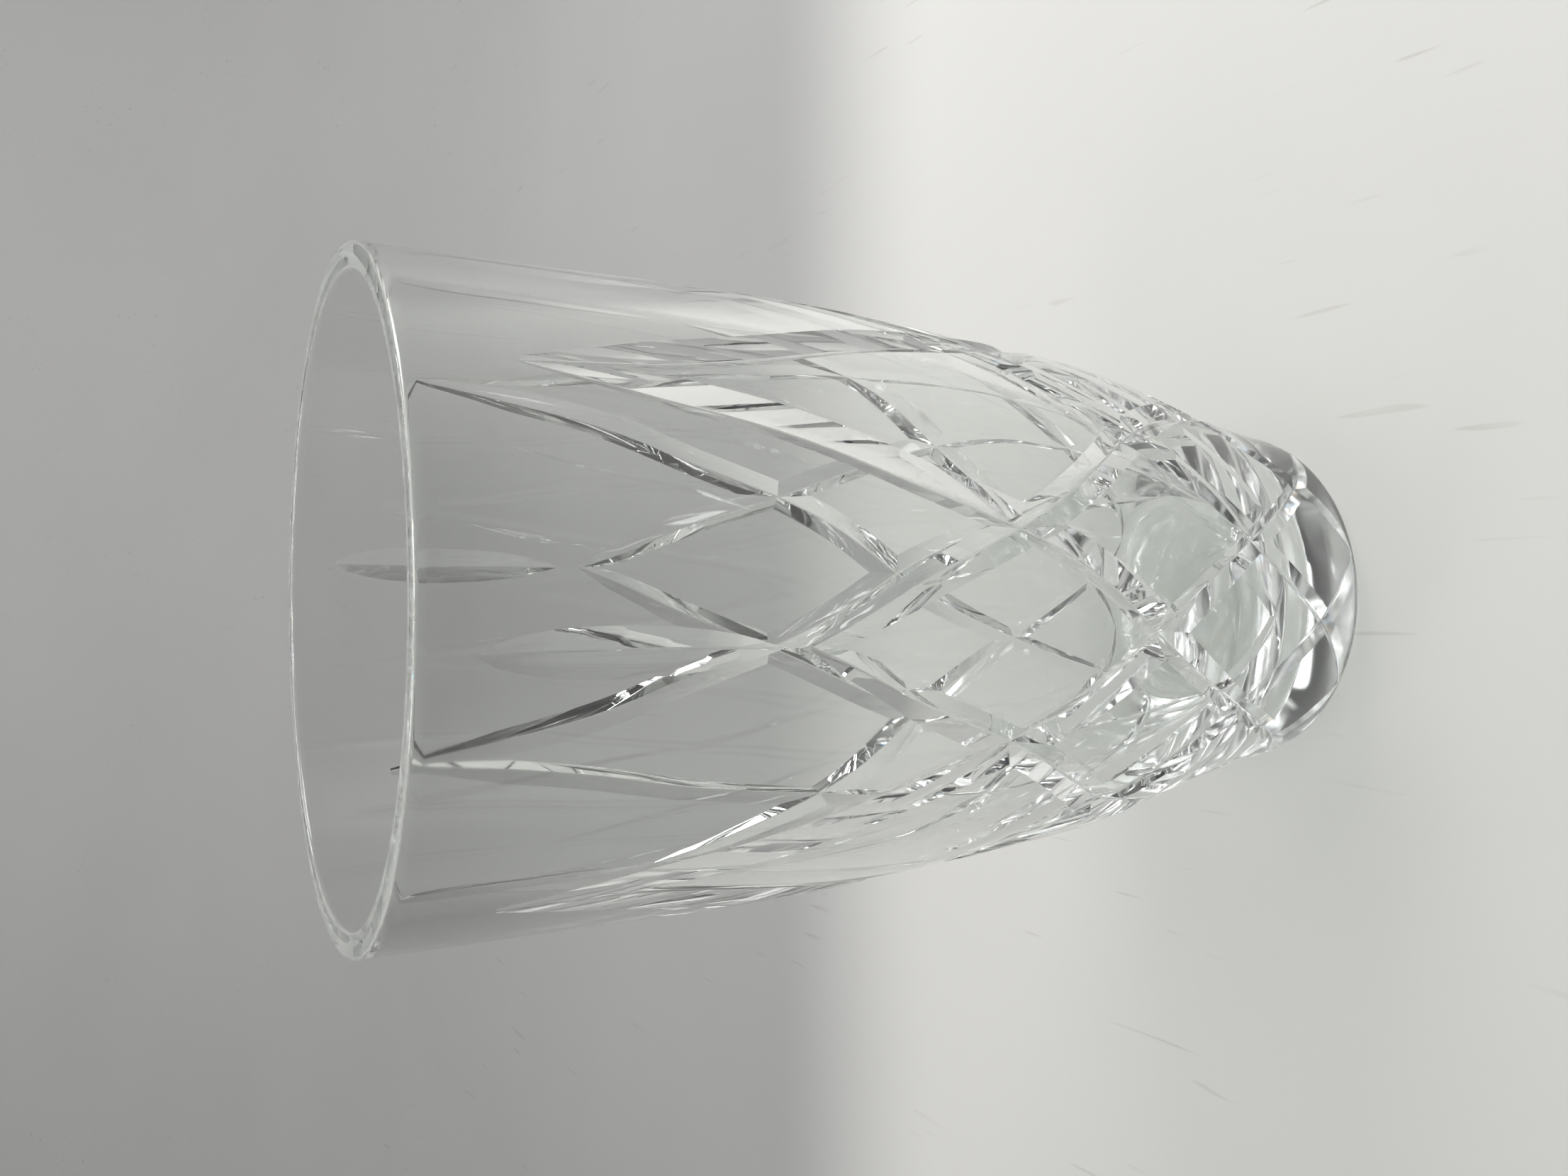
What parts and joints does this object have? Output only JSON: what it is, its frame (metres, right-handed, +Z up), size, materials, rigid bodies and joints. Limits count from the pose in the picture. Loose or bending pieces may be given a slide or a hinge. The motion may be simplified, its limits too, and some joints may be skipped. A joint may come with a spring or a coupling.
{
  "type": "whiskey tumbler",
  "caption": "Tall tapered cut-crystal tumbler with a thick solid base, a plain rounded rim, upright leaf cuts and a net of crossing diagonal V cuts down to the foot.",
  "frame": {"origin": "centre of the foot's flat underside", "axes": "+Z up along the axis of the glass; -Y, +X, +Y and -X each point at an upright leaf cut"},
  "size_m": [0.08, 0.08, 0.134],
  "materials": {
    "lead_crystal": "fire-polished clear crystal with acid-polished V cuts"
  },
  "bodies": {
    "root": {"tumbler_glass": "lead_crystal"}
  },
  "joints": []
}
